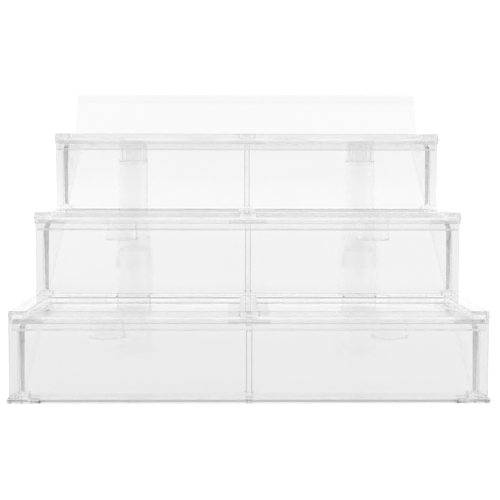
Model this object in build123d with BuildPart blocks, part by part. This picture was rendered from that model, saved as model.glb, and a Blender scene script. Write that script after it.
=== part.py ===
"""Three-step clear plastic display stand, two bays wide.

A stair of cantilever shelves.  Every tier is a tray-like deck on two tapered
side brackets and a straight centre one, with a thin riser panel across its
front.  Each tier plugs into the back of the deck below it, the bottom one into
a low rail on the floor.  Two round legs, each of two tubes, carry the top deck,
and a leaning backboard stands in the slots behind the top tread.

X runs to the viewer's right, Y away from the viewer, Z up.  The origin is on
the floor under the middle of the overall box.  Millimetres.
"""
from build123d import *

import os
from math import cos, radians, sin

os.makedirs("parts", exist_ok=True)

# ---------------------------------------------------------------- dimensions
W = 300.0                # width of the decks
STEP = 88.5              # depth from one riser to the next
RISE = 58.6              # height from one lip to the next
LIP1 = 59.0              # top of the bottom deck's lip above the floor
Y0 = -144.456             # front face of the bottom lip
HALF_ALL = 151.5         # half width over the base rail

# deck
DECK_D = 106.5           # front lip to back edge
LIP_H = 7.8              # outer frame of the deck, top to bottom
WALL = 2.2               # frame wall
TRAY_DEEP = 3.45         # tread floor below the lip
TRAY_Y1 = 89.0           # back wall of the trays; the back land lies behind it
BACK_WALL = 1.0          # its thickness at the foot
BACK_SKIN = 1.35         # top wall of the back land
BACK_STEP = 0.8          # sloping step between the two
FLOOR_LOW = 5.3          # underside of the tread floor below the lip
SKIN = 2.5               # top wall of the raised lands
LAND_C = 5.6             # half width of the centre land
TRAY_X1 = 138.5          # outer edge of each tray; the end lands lie beyond it
RIB_Y0, RIB_Y1 = 4.75, 6.7   # rib behind the riser's top edge
RIB_LOW = 12.8           # its lower edge below the lip
RIB_LEAD_Y, RIB_LEAD_Z = 0.75, 1.4   # slope on its front that leads the riser in
RIB_X = 148.4
EDGE_R = 0.3             # rounding of the outer rim
TRAY_R = 0.12            # rounding of the trays' rims
BEVEL = 0.22             # bevel on the lower back edges of lip and rib

# round sockets under every deck
SOCK_X = 92.4
SOCK_Y = 35.4            # behind the lip
SOCK_R = 11.0
SOCK_BEAD_R = 11.7
SOCK_BEAD_H = 1.8
SOCK_BORE_R = 10.1
SOCK_LEAD = 0.3          # bevel at the mouth of the bore
SOCK_LOW = 21.0          # end of the socket below the lip

# riser panels
PANEL_X = 149.4          # half width of the upper risers
PANEL_LOW_X = 150.3      # half width of the bottom one, level with the lip's ends
PANEL_Y0, PANEL_Y1 = 2.35, 4.55
PANEL_GAP = 0.15
TAB_X = (37.2, 113.2)
TAB_L = 26.0
TAB_LOW = 6.0
LUG_X0, LUG_X1 = 144.5, 149.4
LUG_LOW = 3.6
GUIDE_X0, GUIDE_X1 = 144.4, 145.3   # thin rib that guides the side bracket's web
GUIDE_Y1 = 8.0
SLOT_Y0, SLOT_Y1 = 2.1, 4.8  # slot that takes tab or lug

# brackets
WEB_X = 142.0            # centre plane of the side webs
WEB_TOP, WEB_FOOT = 3.6, 2.3   # thickness of the side webs, drafted
CENTRE_TOP, CENTRE_FOOT = 3.8, 3.8   # thickness of the centre web
CENTRE_Y1 = 20.0         # its upright back edge
WEB_Y0 = 4.8
GUSSET_TOP, GUSSET_FOOT = 78.0, 9.0   # back edge of the web
GUSSET_R = 1.0           # its rounding
FLANGE_HALF = 13.4
FLANGE_LOW = 7.3
CATCH_LOW, CATCH_UP = 8.5, 7.75   # catch on the flange's front edge, bottom and upper tiers
NOTCH_Y1, NOTCH_LOW = 11.5, 9.6   # notch in the web behind the catch
FLANGE_OUT = 147.4
FOOT_H = 2.4
FOOT_Y1 = 14.8
FOOT_C = 3.2
FOOT_S0, FOOT_S1 = 138.8, 147.6
PEG_Y = 9.8
PEG_S = 144.4
PEG_R, PEG_HOLE_R, PEG_L = 1.5, 1.7, 3.4

# base rail and its feet
RAIL_Z0, RAIL_Z1 = 1.2, 3.8
RAIL_SLOPE = 2.4         # run of its sloping back edge
RAIL_LUG, RAIL_PEG = 1.8, 2.4   # how far the riser's lugs and the brackets' pegs go in
RAIL_Y0, RAIL_Y1 = -0.6, 20.0
BUMP_X, BUMP_Y = 135.5, 10.0
BUMP_R, BUMP_TOP = 4.0, 2.0
SEAT_GAP = 0.05          # air left between two seated faces

# legs
LOW_R, LOW_BORE, LOW_FLOOR = 13.85, 12.65, 1.4   # wide lower tube, closed below
SHOULDER_Z, LOW_TOP = 82.8, 95.0   # its sloping shoulder
NECK_R, NECK_BORE = 12.5, 11.5
LEDGE_Z, LEDGE_BORE = 83.0, 11.1   # ring in the shoulder that the upper tube stands on
LEDGE_RUN = 14.0         # length of the slope under it
UP_R, UP_BORE = 11.4, 10.1
PLUG_R, PLUG_CORE, PLUG_BORE = 10.0, 9.4, 8.4
PLUG_LOW = 3.0
PLUG_UP = 15.0
PLUG_RIBS = 16

# backboard
BOARD_X = 148.0
BOARD_LEAN = 28.0        # degrees back from upright
BOARD_T = 2.2
BOARD_L = 40.6           # along the slope
BOARD_RIM, BOARD_RIM_T = 7.8, 2.8


def block(x0, x1, y0, y1, z0, z1, mode=Mode.ADD):
    """Box between two corners, in the part being built."""
    with Locations(((x0 + x1) / 2, (y0 + y1) / 2, (z0 + z1) / 2)):
        Box(abs(x1 - x0), abs(y1 - y0), abs(z1 - z0), mode=mode)


def post(x, y, z0, z1, r, mode=Mode.ADD):
    """Upright cylinder in the part being built."""
    with Locations((x, y, (z0 + z1) / 2)):
        Cylinder(r, abs(z1 - z0), mode=mode)


# ------------------------------------------------------------------ base rail
def make_rail():
    with BuildPart() as rail:
        with BuildSketch(Plane((0, Y0 + (RAIL_Y0 + RAIL_Y1) / 2, RAIL_Z0))):
            RectangleRounded(2 * HALF_ALL, RAIL_Y1 - RAIL_Y0, 1.5)
        extrude(amount=RAIL_Z1 - RAIL_Z0)
        fillet(rail.edges().group_by(Axis.Z)[-1], EDGE_R)
        fillet(rail.edges().group_by(Axis.Z)[0], 0.3)
        for s in (-1, 1):
            # notch for the riser's end lug
            block(s * (LUG_X0 - 0.3), s * (HALF_ALL + 1), Y0 + SLOT_Y0, Y0 + SLOT_Y1,
                  RAIL_Z1 - RAIL_LUG - 0.15, RAIL_Z1 + 1, mode=Mode.SUBTRACT)
            # seat of the bumper foot
            post(s * BUMP_X, Y0 + BUMP_Y, RAIL_Z0 - 1, BUMP_TOP, BUMP_R + 0.2,
                 mode=Mode.SUBTRACT)
        for x in (-PEG_S, 0, PEG_S):
            post(x, Y0 + PEG_Y, RAIL_Z0 - 1, RAIL_Z1 + 1, PEG_HOLE_R, mode=Mode.SUBTRACT)
        with BuildSketch(Plane.YZ.offset(-HALF_ALL - 1)):
            with BuildLine():
                Polyline((Y0 + RAIL_Y1 + 0.1, RAIL_Z0 - 0.1), (Y0 + RAIL_Y1 - RAIL_SLOPE, RAIL_Z0 - 0.1),
                         (Y0 + RAIL_Y1 + 0.1, RAIL_Z1 - 0.5), close=True)
            make_face()
        extrude(amount=2 * HALF_ALL + 2, mode=Mode.SUBTRACT)
    return rail.part


def make_bumpers():
    with BuildPart() as bumpers:
        for s in (-1, 1):
            post(s * BUMP_X, Y0 + BUMP_Y, 0, BUMP_TOP - SEAT_GAP, BUMP_R)
        fillet(bumpers.edges().filter_by(GeomType.CIRCLE).group_by(Axis.Z)[0], 1.1)
    return bumpers.part


# ---------------------------------------------------------------------- decks
def make_deck(tier):
    y = Y0 + tier * STEP
    zt = LIP1 + tier * RISE
    with BuildPart() as deck:
        # outer frame
        with BuildSketch(Plane((0, y + DECK_D / 2, zt - LIP_H))):
            RectangleRounded(W, DECK_D, 1.4)
        extrude(amount=LIP_H)
        fillet(deck.edges().group_by(Axis.Z)[-1], EDGE_R)
        # one shallow tray per bay
        with BuildSketch(Plane((0, y + (WALL + 0.4 + TRAY_Y1) / 2, zt))):
            with Locations(((LAND_C + TRAY_X1) / 2, 0), (-(LAND_C + TRAY_X1) / 2, 0)):
                RectangleRounded(TRAY_X1 - LAND_C, TRAY_Y1 - WALL - 0.4, 1.5)
        extrude(amount=-TRAY_DEEP, mode=Mode.SUBTRACT)
        fillet(deck.edges().group_by(Axis.Z)[-1].filter_by(
            lambda e: y + WALL < e.center().Y < y + TRAY_Y1 + 1 and abs(e.center().X) < TRAY_X1 + 1), TRAY_R)
        # hollow underside inside the frame
        with BuildSketch(Plane((0, y + DECK_D / 2, zt - LIP_H))):
            RectangleRounded(W - 2 * WALL, DECK_D - 2 * WALL, 0.8)
        extrude(amount=LIP_H - FLOOR_LOW, mode=Mode.SUBTRACT)
        # the lands are channels open below
        block(-(LAND_C - SKIN), LAND_C - SKIN, y + WALL + SKIN, y + DECK_D - WALL - SKIN,
              zt - FLOOR_LOW - 0.5, zt - SKIN, mode=Mode.SUBTRACT)
        for s in (-1, 1):
            block(s * (TRAY_X1 + SKIN), s * (W / 2 - WALL), y + WALL + SKIN,
                  y + DECK_D - WALL - SKIN, zt - FLOOR_LOW - 0.5, zt - SKIN,
                  mode=Mode.SUBTRACT)
        with BuildSketch(Plane.YZ.offset(-(W / 2 - WALL))):
            with BuildLine():
                yb, zb = y + TRAY_Y1 + BACK_WALL, zt - BACK_SKIN
                Polyline((yb, zt - FLOOR_LOW - 0.5), (yb, zb - BACK_STEP), (yb + BACK_STEP, zb),
                         (y + DECK_D - WALL, zb), (y + DECK_D - WALL, zt - FLOOR_LOW - 0.5), close=True)
            make_face()
        extrude(amount=W - 2 * WALL, mode=Mode.SUBTRACT)
        # rib that holds the riser's top edge against the lip
        block(-RIB_X, RIB_X, y + RIB_Y0, y + RIB_Y1, zt - RIB_LOW, zt - FLOOR_LOW + 0.2)
        with BuildSketch(Plane.YZ.offset(-RIB_X)):
            with BuildLine():
                yr, zr = y + RIB_Y0, zt - RIB_LOW
                Polyline((yr - 0.1, zr - 0.1), (yr + RIB_LEAD_Y, zr - 0.1), (yr + RIB_LEAD_Y, zr),
                         (yr, zr + RIB_LEAD_Z), (yr - 0.1, zr + RIB_LEAD_Z), close=True)
            make_face()
        extrude(amount=2 * RIB_X, mode=Mode.SUBTRACT)
        # lower back edges of lip and rib are bevelled
        for yb, zb, half in ((y + WALL, zt - LIP_H, W / 2 - WALL), (y + RIB_Y1, zt - RIB_LOW, RIB_X)):
            with BuildSketch(Plane.YZ.offset(-half)):
                with BuildLine():
                    Polyline((yb + 0.1, zb - 0.1), (yb - BEVEL, zb - 0.1), (yb - BEVEL, zb),
                             (yb, zb + BEVEL), (yb + 0.1, zb + BEVEL), close=True)
                make_face()
            extrude(amount=2 * half, mode=Mode.SUBTRACT)
        # leg sockets with a bead round the mouth
        for s in (-1, 1):
            post(s * SOCK_X, y + SOCK_Y, zt - SOCK_LOW, zt - FLOOR_LOW + 0.2, SOCK_R)
            post(s * SOCK_X, y + SOCK_Y, zt - SOCK_LOW, zt - SOCK_LOW + SOCK_BEAD_H,
                 SOCK_BEAD_R)
        for s in (-1, 1):
            post(s * SOCK_X, y + SOCK_Y, zt - SOCK_LOW - 1, zt - FLOOR_LOW, SOCK_BORE_R,
                 mode=Mode.SUBTRACT)
            with Locations((s * SOCK_X, y + SOCK_Y, zt - SOCK_LOW + SOCK_LEAD / 2)):
                Cone(SOCK_BORE_R + SOCK_LEAD, SOCK_BORE_R, SOCK_LEAD, mode=Mode.SUBTRACT)
            # slots and notches that take the next piece behind the tread
            for x in TAB_X:
                block(s * (x - TAB_L / 2 - 0.3), s * (x + TAB_L / 2 + 0.3),
                      y + STEP + SLOT_Y0, y + STEP + SLOT_Y1,
                      zt - FLOOR_LOW - 1, zt + 1, mode=Mode.SUBTRACT)
            block(s * (LUG_X0 - 0.3), s * (W / 2 + 1), y + STEP + SLOT_Y0,
                  y + STEP + SLOT_Y1, zt - LUG_LOW - 0.25, zt + 1, mode=Mode.SUBTRACT)
        for x in (-PEG_S, 0, PEG_S):
            post(x, y + STEP + PEG_Y, zt - SKIN - 1, zt + 1, PEG_HOLE_R, mode=Mode.SUBTRACT)
        # moulding gate left on the right-hand end of the lip
        with Locations(Location((W / 2 + (HALF_ALL - W / 2) / 2 - 0.25, y + 3.6, zt - 3.7),
                                (0, 90, 0))):
            Cylinder(0.85, HALF_ALL - W / 2 + 0.5)
    return deck.part


# --------------------------------------------------------------- riser panels
def make_panel(tier):
    y = Y0 + tier * STEP
    zt = LIP1 + tier * RISE
    zl = RAIL_Z1 if tier == 0 else zt - RISE
    half = PANEL_X if tier else PANEL_LOW_X
    with BuildPart() as panel:
        with BuildSketch(Plane.XZ.offset(-(y + PANEL_Y1))):
            with BuildLine():
                Polyline((-half, zl + PANEL_GAP), (half, zl + PANEL_GAP),
                         (half, zt - FLOOR_LOW - 0.2), (-half, zt - FLOOR_LOW - 0.2),
                         close=True)
            make_face()
        extrude(amount=PANEL_Y1 - PANEL_Y0)
        fillet(panel.edges().filter_by(Axis.Z), 0.5)
        fillet(panel.edges().filter_by(Axis.X).group_by(Axis.Z)[0], 0.4)
        # keep clear of the deck's end walls above the lip's lower edge
        for s in (-1, 1):
            block(s * (W / 2 - WALL - 0.3), s * (W / 2 + 1), y, y + 10, zt - LIP_H - 0.2, zt,
                  mode=Mode.SUBTRACT)
        for s in (-1, 1):
            block(s * LUG_X0, s * LUG_X1, y + PANEL_Y0, y + PANEL_Y1,
                  zl - (LUG_LOW if tier else RAIL_LUG), zl + 1)
            block(s * GUIDE_X0, s * GUIDE_X1, y + PANEL_Y1 - 0.5, y + GUIDE_Y1,
                  zl + FOOT_H + 0.3, zt - RIB_LOW - 0.3)
            if tier:
                for x in TAB_X:
                    block(s * (x - TAB_L / 2), s * (x + TAB_L / 2), y + PANEL_Y0,
                          y + PANEL_Y1, zl - TAB_LOW, zl + 1)
    return panel.part


# ------------------------------------------------------------------- brackets
def make_bracket(tier, side):
    y = Y0 + tier * STEP
    zt = LIP1 + tier * RISE
    zl = RAIL_Z1 if tier == 0 else zt - RISE
    xc = side * WEB_X
    top = zt - FLOOR_LOW - 0.1
    with BuildPart() as bracket:
        # drafted web, thicker at the top
        t0, t1 = (WEB_FOOT, WEB_TOP) if side else (CENTRE_FOOT, CENTRE_TOP)
        back = GUSSET_TOP if side else CENTRE_Y1
        with BuildSketch(Plane.XZ.offset(-(y + back))):
            with BuildLine():
                Polyline((xc - t0 / 2, zl + FOOT_H - 0.5), (xc + t0 / 2, zl + FOOT_H - 0.5),
                         (xc + t1 / 2, top), (xc - t1 / 2, top), close=True)
            make_face()
        extrude(amount=back - WEB_Y0)
        if side == 0:
            fillet(bracket.edges().filter_by(lambda e: e.length > 20 and abs((e % 0.5).Z) > 0.9), 0.5)
        # cut to its side profile: upright front; sloping back edge on the side webs
        low = zl + FOOT_H - 0.5
        with BuildSketch(Plane.YZ.offset(xc - 20)):
            with BuildLine():
                if side:
                    Polyline((y + WEB_Y0, low), (y + GUSSET_FOOT, low),
                             (y + GUSSET_FOOT, zl + FOOT_H + 1.0), (y + GUSSET_TOP, zt - FLANGE_LOW),
                             (y + GUSSET_TOP, top), (y + RIB_Y1 + 0.2, top),
                             (y + RIB_Y1 + 0.2, zt - RIB_LOW - 0.2), (y + WEB_Y0, zt - RIB_LOW - 0.2),
                             close=True)
                else:
                    Polyline((y + WEB_Y0, low), (y + CENTRE_Y1, low), (y + CENTRE_Y1, top),
                             (y + RIB_Y1 + 0.2, top), (y + RIB_Y1 + 0.2, zt - RIB_LOW - 0.2),
                             (y + WEB_Y0, zt - RIB_LOW - 0.2), close=True)
            make_face()
        extrude(amount=40, mode=Mode.INTERSECT)
        if side:
            fillet(bracket.edges().filter_by(
                lambda e: e.length > 70 and abs((e % 0.5).Z) > 0.3 and abs((e % 0.5).Y) > 0.3), GUSSET_R)
        # top flange under the tread
        if side == 0:
            xs, fs, peg = (-FLANGE_HALF, FLANGE_HALF), (-FOOT_C, FOOT_C), 0.0
        else:
            xs = (side * (WEB_X - FLANGE_HALF), side * FLANGE_OUT)
            fs = (side * FOOT_S0, side * FOOT_S1)
            peg = side * PEG_S
        block(xs[0], xs[1], y + RIB_Y1 + 0.2, y + GUSSET_TOP, zt - FLANGE_LOW, top)
        # catch along the flange's front edge, and the notch behind it
        catch = CATCH_UP if tier else CATCH_LOW
        yc, zc = y + RIB_Y1 + 0.2, zt - catch
        drop = catch - FLANGE_LOW
        with BuildSketch(Plane.YZ.offset(xc - 20)):
            with BuildLine():
                Polyline((yc - 0.5, zc - 0.05), (yc, zc), (yc + drop, zt - FLANGE_LOW),
                         (y + NOTCH_Y1, zt - FLANGE_LOW), (y + NOTCH_Y1, zt - NOTCH_LOW),
                         (yc - 0.5, zt - NOTCH_LOW), close=True)
            make_face()
        extrude(amount=40, mode=Mode.SUBTRACT)
        with BuildSketch(Plane.YZ.offset(min(xs))):
            with BuildLine():
                Polyline((yc, zc), (yc + drop, zt - FLANGE_LOW), (yc + drop, zt - FLANGE_LOW + 0.2),
                         (yc, zt - FLANGE_LOW + 0.2), close=True)
            make_face()
        extrude(amount=abs(xs[1] - xs[0]))
        # foot and its locating peg
        block(fs[0], fs[1], y + WEB_Y0, y + FOOT_Y1, zl + SEAT_GAP, zl + FOOT_H)
        post(peg, y + PEG_Y, zl - (PEG_L if tier else RAIL_PEG), zl + 0.5, PEG_R)
    return bracket.part


# ----------------------------------------------------------------------- legs
LEG_Y = Y0 + 2 * STEP + SOCK_Y
LEG_TOP = LIP1 + 2 * RISE - SOCK_LOW - 0.1


def make_lower_leg(side):
    xc = side * SOCK_X
    with BuildPart() as lower:
        with BuildSketch(Plane(origin=(xc, LEG_Y, 0), x_dir=(1, 0, 0), z_dir=(0, -1, 0))):
            with BuildLine():
                Polyline((0, 0), (LOW_R - 0.4, 0), (LOW_R, 0.4), (LOW_R, SHOULDER_Z),
                         (NECK_R, LOW_TOP), (NECK_BORE, LOW_TOP), (NECK_BORE, LEDGE_Z),
                         (LEDGE_BORE, LEDGE_Z), (LEDGE_BORE, LEDGE_Z - 0.8), (LOW_BORE, LEDGE_Z - LEDGE_RUN),
                         (LOW_BORE, LOW_FLOOR), (0, LOW_FLOOR), close=True)
            make_face()
        revolve(axis=Axis((xc, LEG_Y, 0), (0, 0, 1)))
    return lower.part


def make_upper_leg(side):
    xc = side * SOCK_X
    with BuildPart() as upper:
        with BuildSketch(Plane((xc, LEG_Y, LEDGE_Z + SEAT_GAP))):
            Circle(UP_R)
            Circle(UP_BORE, mode=Mode.SUBTRACT)
        extrude(amount=LEG_TOP - LEDGE_Z - SEAT_GAP)
        chamfer(upper.edges().group_by(Axis.Z)[0], 0.3)
        fillet(upper.edges().group_by(Axis.Z)[-1], 0.35)
    return upper.part


def make_plug(side):
    xc = side * SOCK_X
    with BuildPart() as plug:
        # smooth end down in the tube
        post(xc, LEG_Y, LEG_TOP - PLUG_LOW, LEG_TOP, PLUG_R)
        # ribbed end up in the deck's socket
        post(xc, LEG_Y, LEG_TOP, LEG_TOP + PLUG_UP, PLUG_CORE)
        with BuildSketch(Plane((xc, LEG_Y, LEG_TOP))):
            with PolarLocations((PLUG_CORE + PLUG_R) / 2 - 0.2, PLUG_RIBS):
                Rectangle(PLUG_R - PLUG_CORE + 0.4, 1.2)
        extrude(amount=PLUG_UP - 1.0)
        # hollow from below
        post(xc, LEG_Y, LEG_TOP - PLUG_LOW - 1, LEG_TOP + PLUG_UP - 2.0, PLUG_BORE,
             mode=Mode.SUBTRACT)
    return plug.part


# ------------------------------------------------------------------ backboard
def make_backboard():
    y = Y0 + 3 * STEP
    zl = LIP1 + 2 * RISE
    c, s_ = cos(radians(BOARD_LEAN)), sin(radians(BOARD_LEAN))
    with BuildPart() as board:
        # leaning sheet, with a thicker rim along its top
        foot = (0, y + (PANEL_Y0 + PANEL_Y1) / 2, zl + 2.4)
        with BuildSketch(Plane(origin=foot, x_dir=(1, 0, 0), z_dir=(0, -c, s_))):
            with Locations((0, BOARD_L / 2)):
                Rectangle(2 * BOARD_X, BOARD_L)
        extrude(amount=BOARD_T / 2, both=True)
        with BuildSketch(Plane(origin=(-BOARD_X, foot[1], foot[2]), x_dir=(0, s_, c), z_dir=(1, 0, 0))):
            with BuildLine():
                Polyline((BOARD_L, BOARD_RIM_T / 2), (BOARD_L - BOARD_RIM + 2.5, BOARD_RIM_T / 2),
                         (BOARD_L - BOARD_RIM - 2.5, BOARD_T / 2 - 0.05),
                         (BOARD_L - BOARD_RIM - 2.5, 0.05 - BOARD_T / 2),
                         (BOARD_L - BOARD_RIM + 2.5, -BOARD_RIM_T / 2), (BOARD_L, -BOARD_RIM_T / 2), close=True)
            make_face()
        extrude(amount=2 * BOARD_X)
        fillet(board.edges().filter_by(Axis.X).group_by(Axis.Z)[-1], 0.5)
        # upright foot strip with tabs in the slots
        block(-BOARD_X, BOARD_X, y + PANEL_Y0, y + PANEL_Y1, zl + PANEL_GAP, zl + 3.0)
        for s in (-1, 1):
            for x in TAB_X:
                block(s * (x - TAB_L / 2), s * (x + TAB_L / 2), y + PANEL_Y0, y + PANEL_Y1,
                      zl - TAB_LOW, zl + 1)
    return board.part


def save(part, label):
    part.label = label
    export_step(part, f"parts/{label}.step")


save(make_rail(), "base_rail")
save(make_bumpers(), "rail_bumpers")
for i, tier in enumerate(("bottom", "middle", "top")):
    save(make_deck(i), f"{tier}_deck")
    save(make_panel(i), f"{tier}_panel")
    for s, side in ((-1, "left"), (0, "centre"), (1, "right")):
        save(make_bracket(i, s), f"{tier}_{side}_bracket")
for s, side in ((-1, "left"), (1, "right")):
    save(make_lower_leg(s), f"{side}_lower_leg")
    save(make_upper_leg(s), f"{side}_upper_leg")
    save(make_plug(s), f"{side}_leg_plug")
save(make_backboard(), "backboard")
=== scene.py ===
import math

import bpy
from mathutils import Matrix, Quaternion, Vector

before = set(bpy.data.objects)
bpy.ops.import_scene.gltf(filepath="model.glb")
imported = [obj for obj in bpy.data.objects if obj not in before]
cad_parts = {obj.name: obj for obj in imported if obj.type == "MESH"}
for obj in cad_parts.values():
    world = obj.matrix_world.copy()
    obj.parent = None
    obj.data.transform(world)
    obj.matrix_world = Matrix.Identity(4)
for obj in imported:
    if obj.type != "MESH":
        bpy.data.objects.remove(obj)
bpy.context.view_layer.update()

scene = bpy.context.scene

# ---------------------------------------------------------------- camera
CAM_AT = Vector((-0.00741, -0.79835, 0.14203))
CAM_YAW, CAM_PITCH, CAM_ROLL = 0.68, -3.908, -0.096
CAM_LENS = 76.2

yaw, pitch = math.radians(CAM_YAW), math.radians(CAM_PITCH)
look = Vector((math.sin(yaw) * math.cos(pitch), math.cos(yaw) * math.cos(pitch), math.sin(pitch)))
cam_data = bpy.data.cameras.new("camera")
cam_data.sensor_width = 36.0
cam_data.lens = CAM_LENS
cam_data.clip_start, cam_data.clip_end = 0.01, 60.0
cam = bpy.data.objects.new("camera", cam_data)
cam.location = CAM_AT
cam.rotation_mode = "QUATERNION"
cam.rotation_quaternion = Quaternion(look, math.radians(CAM_ROLL)) @ look.to_track_quat("-Z", "Y")
scene.collection.objects.link(cam)
scene.camera = cam


# ---------------------------------------------------------------- materials
class Nodes:
    """A node tree being filled in, with short calls for the nodes used here."""

    def __init__(self, tree):
        self.tree = tree
        tree.nodes.clear()

    def new(self, kind, **inputs):
        node = self.tree.nodes.new(kind)
        for key, value in inputs.items():
            node.inputs[key.replace("_", " ")].default_value = value
        return node

    def link(self, a, b):
        self.tree.links.new(a, b)

    def ramp(self, source, low, high, c0, c1):
        node = self.tree.nodes.new("ShaderNodeMapRange")
        node.inputs["From Min"].default_value = low
        node.inputs["From Max"].default_value = high
        node.inputs["To Min"].default_value = c0
        node.inputs["To Max"].default_value = c1
        self.link(source, node.inputs["Value"])
        return node.outputs["Result"]

    def soft(self, source, low, high, c0, c1):
        node = self.tree.nodes.new("ShaderNodeMapRange")
        node.interpolation_type = "SMOOTHSTEP"
        for key, value in (("From Min", low), ("From Max", high), ("To Min", c0), ("To Max", c1)):
            node.inputs[key].default_value = value
        self.link(source, node.inputs["Value"])
        return node.outputs["Result"]

    def math(self, op, a, b):
        node = self.tree.nodes.new("ShaderNodeMath")
        node.operation = op
        for i, v in enumerate((a, b)):
            if isinstance(v, float):
                node.inputs[i].default_value = v
            else:
                self.link(v, node.inputs[i])
        return node.outputs["Value"]

    def blend(self, factor, a, b):
        node = self.tree.nodes.new("ShaderNodeMix")
        node.data_type = "RGBA"
        self.link(factor, node.inputs["Factor"])
        for key, v in (("A", a), ("B", b)):
            if isinstance(v, tuple):
                node.inputs[key].default_value = (*v, 1.0)
            else:
                self.link(v, node.inputs[key])
        return node.outputs["Result"]

    def noise(self, coord, scale, detail=2.0, rough=0.5):
        node = self.new("ShaderNodeTexNoise", Scale=scale, Detail=detail, Roughness=rough)
        self.link(coord, node.inputs["Vector"])
        return node.outputs["Fac"]

    def stretch(self, coord, sx, sy, sz):
        node = self.new("ShaderNodeMapping")
        node.inputs["Scale"].default_value = (sx, sy, sz)
        self.link(coord, node.inputs["Vector"])
        return node.outputs["Vector"]


def clear_plastic(name, tint, ior=1.53, spread=0.006, rough=(0.012, 0.04), flow=(6, 6, 22), wave=0.00006,
                  soak=0.0, zones=()):
    """Moulded clear plastic: faint cloudiness, flow lines and fine surface wear.

    soak is the light taken per metre inside, which greys the long ways through a wall.
    zones are parts of the surface with a tint and a polish of their own: (where, tint, rough), where
    where lists bounds (axis, from, to, soft edge) over the piece's own box, 0 to 1."""
    mat = bpy.data.materials.new(name)
    mat.use_nodes = True
    n = Nodes(mat.node_tree)
    out = n.new("ShaderNodeOutputMaterial")
    shade = n.new("ShaderNodeBsdfPrincipled")
    shade.inputs["Transmission Weight"].default_value = 1.0
    shade.inputs["IOR"].default_value = ior
    n.link(shade.outputs["BSDF"], out.inputs["Surface"])

    coords = n.new("ShaderNodeTexCoord")
    coord = coords.outputs["Object"]
    # colour: slow cloudiness through the wall
    cloud = n.ramp(n.noise(n.stretch(coord, *flow), 1.0, 3.0, 0.55), 0.3, 0.7, 0.0, 1.0)
    colour = n.blend(cloud, grey(tint - spread), grey(tint + spread))
    # polish: clear, with handled patches and a fine grain
    patch = n.noise(coord, 28.0, 4.0, 0.6)
    polish = n.ramp(patch, 0.35, 0.7, *rough)
    if zones:
        split = n.new("ShaderNodeSeparateXYZ")
        n.link(coords.outputs["Generated"], split.inputs[0])
        for where, zone_tint, zone_rough in zones:
            there = None
            for axis, low, high, edge in where:
                inside = n.math("MULTIPLY", n.ramp(split.outputs[axis], low - edge, low, 0.0, 1.0),
                                n.ramp(split.outputs[axis], high, high + edge, 1.0, 0.0))
                there = inside if there is None else n.math("MULTIPLY", there, inside)
            colour = n.blend(there, colour, n.blend(cloud, grey(zone_tint - spread), grey(zone_tint + spread)))
            if zone_rough:
                satin = n.ramp(patch, 0.35, 0.7, *zone_rough)
                polish = n.math("ADD", n.math("MULTIPLY", polish, n.math("SUBTRACT", 1.0, there)),
                                n.math("MULTIPLY", satin, there))
    n.link(colour, shade.inputs["Base Color"])
    n.link(polish, shade.inputs["Roughness"])
    # surface: slight waviness of a moulded sheet
    wavy = n.noise(n.stretch(coord, *[2.2 * f for f in flow]), 1.0, 2.0, 0.5)
    bump = n.new("ShaderNodeBump")
    bump.inputs["Strength"].default_value = 1.0
    bump.inputs["Distance"].default_value = wave
    n.link(wavy, bump.inputs["Height"])
    n.link(bump.outputs["Normal"], shade.inputs["Normal"])
    if soak:
        inside = n.new("ShaderNodeVolumeAbsorption")
        inside.inputs["Color"].default_value = (0.81, 0.81, 0.81, 1.0)
        inside.inputs["Density"].default_value = soak / 0.19
        n.link(inside.outputs["Volume"], out.inputs["Volume"])
    return mat


def grey(level):
    """Neutral tint."""
    return (level, level, level)


# the riser sheets are a little hazy, and clear at the tabs on their foot
FOOT = ([("Z", -1.0, 0.10, 0.03)], 0.985, None)


# the top one is a trace greyer towards its foot
LOWER = {"top": [([("Z", -1.0, 0.25, 0.45)], 0.878, None)]}


def ends(tint, width):
    """The sheet's two ends, outside the side brackets, greyed with painted shade."""
    return [([("X", low, high, 0.003)], tint, None) for low, high in ((-1.0, width), (1.0 - width, 2.0))]


# the three riser sheets are the same grey plastic; the differences between their tints are painted light and shade,
# following how brightly each tier is lit from behind
PANELS = {tier: clear_plastic(f"clear_{tier}_riser_sheet", tint, spread=0.009, rough=rough, flow=(5, 5, 16),
                              zones=(LOWER.get(tier, []) + ends(end, 0.018 if tier != "bottom" else 0.0205)
                                     + ([FOOT] if tier != "bottom" else [])))
          # end is the painted shade tint of each sheet's two ends
          for tier, tint, end, rough in (("bottom", 0.849, 0.775, (0.135, 0.148)), ("middle", 0.836, 0.80, (0.10, 0.135)),
                                         ("top", 0.905, 0.85, (0.10, 0.135)))}


def deck(tier, tint, lip, rib, lip_edge_painted_shade, back):
    """Deck with a satin lip and rib and clear sockets; the dark line along the lip's top edge is painted shade, and
    the dark line along the trays' back edge is partly given by the light and partly painted shade.
    """
    zones = [([("Y", -1.0, 0.008, 0.004)], lip, (0.22, 0.28)),
             ([("Y", 0.040, 0.066, 0.002), ("Z", 0.30, 0.74, 0.01)], rib, (0.12, 0.14)),
             ([("Y", 0.20, 0.47, 0.01), ("Z", -1.0, 0.72, 0.02)], 0.993, None),
             # next zone: a dark line along the lip's top edge, painted shade
             ([("Y", -1.0, 0.006, 0.003), ("Z", 0.975, 2.0, 0.006), ("X", 0.08, 0.92, 0.02)], lip_edge_painted_shade, None)]
    # a dark line along the trays' back edge: partly given by the light, partly painted shade
    if back:
        low, high, dark = back
        zones.append(([("Y", 0.8325, 0.8385, 0.001), ("Z", low, high, 0.006), ("X", 0.04, 0.96, 0.002)], dark, None))
    return clear_plastic(f"clear_{tier}_deck", tint, spread=0.004, flow=(9, 9, 9), wave=0.00002, soak=0.5,
                         zones=zones)


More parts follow.
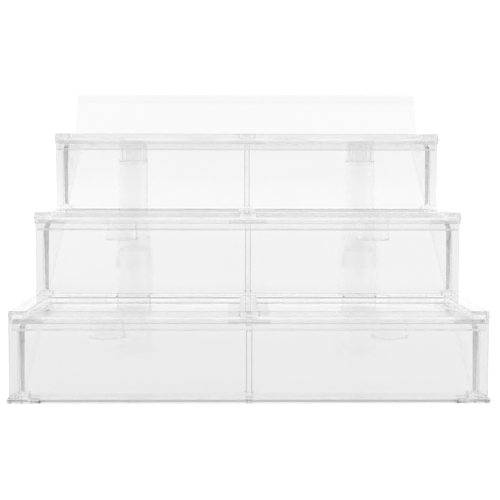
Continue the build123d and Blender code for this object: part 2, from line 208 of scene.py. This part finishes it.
# the values 0.80, 0.80 and 0.70 are painted shade on the lip's top edge; the last triple sets the dark line along
# the trays' back edge, partly painted shade
DECKS = {"bottom": deck("bottom", 0.969, 0.93, 0.965, 0.80, (0.920, 0.952, 0.55)),
         "middle": deck("middle", 0.973, 0.955, 0.985, 0.80, (0.953, 2.0, 0.38)),
         "top": deck("top", 0.969, 0.93, 0.965, 0.70, None)}
# the side brackets are clearer at the flange and the foot; the right-hand ones are a trace clearer all over, painted
# light for the brighter light on the right
CLEAR_FLANGE = ([("Z", 0.93, 2.0, 0.01)], 0.995, None)
CLEAR_FOOT = ([("Z", -1.0, 0.12, 0.02)], 0.995, None)
WEBS = {side: clear_plastic(f"clear_{side}_bracket_moulding", tint, spread=0.005, flow=(14, 14, 30), soak=soak,
                            zones=[CLEAR_FLANGE, CLEAR_FOOT])
        for side, tint, soak in (("left", 0.958, 1.0), ("right", 0.978, 0.6))}
# the upright front edges of the centre webs are darkened with painted shade, for the dark look light gives cut edges
# of clear sheet
PAINTED_SHADE_EDGE_L = ([("X", 0.42, 0.443, 0.003), ("Y", -1.0, 0.008, 0.002), ("Z", 0.10, 2.0, 0.01)], 0.28, None)
PAINTED_SHADE_EDGE_R = ([("X", 0.557, 0.58, 0.003), ("Y", -1.0, 0.008, 0.002), ("Z", 0.10, 2.0, 0.01)], 0.28, None)
CENTRE = clear_plastic("clear_centre_web", 0.993, spread=0.004, flow=(14, 14, 30), soak=0.3, zones=[PAINTED_SHADE_EDGE_L, PAINTED_SHADE_EDGE_R])
# the right-hand leg is a trace clearer than the left
LEGS = {side: clear_plastic(f"clear_{side}_leg_tube", tint, spread=0.003, flow=(18, 18, 6), soak=soak)
        for side, tint, soak in (("left", 0.990, 8.0), ("right", 0.996, 6.0))}
PLUG = clear_plastic("clear_leg_plug", 0.993, spread=0.003, flow=(18, 18, 18), soak=0.8)
# the wide lower tubes are clearer near the floor and at the neck
CLEAR_END = ([("Z", -1.0, 0.28, 0.10)], 0.995, None)
NECK = ([("Z", 0.80, 2.0, 0.06)], 0.995, None)
LOW_LEGS = {side: clear_plastic(f"clear_{side}_lower_tube", tint, spread=0.004, flow=(18, 18, 6), soak=2.0,
                                zones=[CLEAR_END, NECK])
            for side, tint in (("left", 0.981), ("right", 0.988))}
THICK = ([("Z", 0.86, 2.0, 0.09)], 0.930, None)
BOARD = clear_plastic("clear_backboard_sheet", 0.952, spread=0.005, flow=(4, 12, 12), zones=[THICK])
# the rail's front edge is dark above its lower bevel, partly from the light and partly painted shade
RAIL_FRONT_PAINTED_SHADE = ([("Y", -1.0, 0.02, 0.02), ("Z", 0.36, 0.96, 0.06)], 0.60, None)
RAIL = clear_plastic("clear_rail_moulding", 0.982, spread=0.006, flow=(4, 20, 20), zones=[RAIL_FRONT_PAINTED_SHADE])


def soft_rubber(name):
    """The small stick-on feet: milky clear rubber with a matt, dusty skin."""
    mat = bpy.data.materials.new(name)
    mat.use_nodes = True
    n = Nodes(mat.node_tree)
    out = n.new("ShaderNodeOutputMaterial")
    shade = n.new("ShaderNodeBsdfPrincipled")
    shade.inputs["Transmission Weight"].default_value = 0.8
    shade.inputs["IOR"].default_value = 1.42
    n.link(shade.outputs["BSDF"], out.inputs["Surface"])
    coord = n.new("ShaderNodeTexCoord").outputs["Object"]
    dust = n.noise(coord, 900.0, 4.0, 0.6)
    mix = n.new("ShaderNodeMix")
    mix.data_type = "RGBA"
    mix.inputs["A"].default_value = (0.82, 0.83, 0.83, 1.0)
    mix.inputs["B"].default_value = (0.93, 0.935, 0.935, 1.0)
    n.link(n.ramp(dust, 0.3, 0.7, 0.0, 1.0), mix.inputs["Factor"])
    n.link(mix.outputs["Result"], shade.inputs["Base Color"])
    n.link(n.ramp(dust, 0.3, 0.7, 0.25, 0.5), shade.inputs["Roughness"])
    bump = n.new("ShaderNodeBump")
    bump.inputs["Strength"].default_value = 0.4
    bump.inputs["Distance"].default_value = 0.00005
    n.link(dust, bump.inputs["Height"])
    n.link(bump.outputs["Normal"], shade.inputs["Normal"])
    return mat


RUBBER = soft_rubber("milky_rubber_foot")


def wear(node, mat):
    obj = bpy.data.objects[node]
    obj.data.materials.clear()
    obj.data.materials.append(mat)


for tier in ("bottom", "middle", "top"):
    wear(f"{tier}_deck", DECKS[tier])
    wear(f"{tier}_panel", PANELS[tier])
    wear(f"{tier}_centre_bracket", CENTRE)
    for side in ("left", "right"):
        wear(f"{tier}_{side}_bracket", WEBS[side])
for side in ("left", "right"):
    for piece in ("lower_leg", "upper_leg", "leg_plug"):
        wear(f"{side}_{piece}", {"lower_leg": LOW_LEGS[side], "upper_leg": LEGS[side], "leg_plug": PLUG}[piece])
wear("backboard", BOARD)
wear("base_rail", RAIL)
wear("rail_bumpers", RUBBER)


# ---------------------------------------------------------------- floor
def make_floor():
    mesh = bpy.data.meshes.new("floor")
    s = 20.0
    z = -0.0003
    mesh.from_pydata([(-s, -s, z), (s, -s, z), (s, s, z), (-s, s, z)], [], [(0, 1, 2, 3)])
    obj = bpy.data.objects.new("floor", mesh)
    scene.collection.objects.link(obj)
    mat = bpy.data.materials.new("pale_floor")
    mat.use_nodes = True
    n = Nodes(mat.node_tree)
    out = n.new("ShaderNodeOutputMaterial")
    dull = n.new("ShaderNodeBsdfDiffuse")
    dull.inputs["Color"].default_value = (0.5, 0.5, 0.5, 1.0)
    glow = n.new("ShaderNodeEmission")
    glow.inputs["Color"].default_value = (1.0, 1.0, 1.0, 1.0)
    split = n.new("ShaderNodeSeparateXYZ")
    n.link(n.new("ShaderNodeTexCoord").outputs["Object"], split.inputs[0])
    # a soft shade under the stand, and a floor that gets a little lighter far behind it
    side = n.new("ShaderNodeMath")
    side.operation = "ABSOLUTE"
    n.link(split.outputs["X"], side.inputs[0])
    spread = n.ramp(split.outputs["Y"], -0.094, 0.20, 0.0, 0.062)
    shade = n.soft(n.math("SUBTRACT", side.outputs["Value"], spread), 0.146, 0.160, 1.0, 0.0)
    shade = n.math("MULTIPLY", shade, n.soft(split.outputs["Y"], -0.147, -0.127, 0.0, 1.0))
    shade = n.math("MULTIPLY", shade, n.soft(split.outputs["Y"], 0.13, 0.30, 1.0, 0.0))
    level = n.soft(split.outputs["Y"], 0.8, 4.0, 0.69, 0.72)
    n.link(n.math("SUBTRACT", level, n.math("MULTIPLY", shade, 0.085)), glow.inputs["Strength"])
    both = n.new("ShaderNodeAddShader")
    n.link(dull.outputs["BSDF"], both.inputs[0])
    n.link(glow.outputs["Emission"], both.inputs[1])
    n.link(both.outputs["Shader"], out.inputs["Surface"])
    mesh.materials.append(mat)
    return obj


make_floor()


# ---------------------------------------------------------------- soft light all round
def make_sky():
    world = bpy.data.worlds.new("studio")
    scene.world = world
    world.use_nodes = True
    n = Nodes(world.node_tree)
    out = n.new("ShaderNodeOutputWorld")
    back = n.new("ShaderNodeBackground")
    n.link(back.outputs["Background"], out.inputs["Surface"])
    coord = n.new("ShaderNodeTexCoord").outputs["Generated"]
    split = n.new("ShaderNodeSeparateXYZ")
    n.link(coord, split.inputs[0])
    X, Y, Z = split.outputs

    # round the horizon: dim behind the camera, white at the sides, brightest on the backdrop
    ring = n.math("ADD", n.soft(Y, -0.85, -0.25, SKY_FRONT, SKY_SIDE), n.soft(Y, 0.3, 0.9, 0.0, SKY_BACK - SKY_SIDE))
    # the backdrop ends a little above the object, and the room over it is dim
    rise = n.math("MULTIPLY", n.soft(Z, 0.165, 0.215, 0.0, 1.0), n.soft(Y, 0.25, 0.6, 0.0, 1.0))
    low = n.math("SUBTRACT", 1.0, n.math("MULTIPLY", rise, 1.0 - SKY_ABOVE))
    high = n.soft(Z, 0.45, 0.8, 0.0, 1.0)
    mix = n.new("ShaderNodeMix")
    mix.data_type = "FLOAT"
    mix.inputs["B"].default_value = SKY_TOP
    n.link(high, mix.inputs["Factor"])
    n.link(n.math("MULTIPLY", ring, low), mix.inputs["A"])
    n.link(mix.outputs["Result"], back.inputs["Strength"])
    back.inputs["Color"].default_value = (1.0, 1.0, 1.0, 1.0)


SKY_FRONT, SKY_SIDE, SKY_BACK = 0.6, 1.0, 1.03
SKY_ABOVE, SKY_TOP = 0.85, 0.67
make_sky()

# ---------------------------------------------------------------- how light is followed
scene.view_settings.view_transform = "Standard"
scene.view_settings.look = "None"
scene.cycles.max_bounces = 32
scene.cycles.transmission_bounces = 32
scene.cycles.glossy_bounces = 16
scene.cycles.diffuse_bounces = 3
scene.cycles.transparent_max_bounces = 16
scene.cycles.caustics_reflective = True
scene.cycles.caustics_refractive = True
scene.cycles.blur_glossy = 0.0
scene.cycles.use_denoising = True
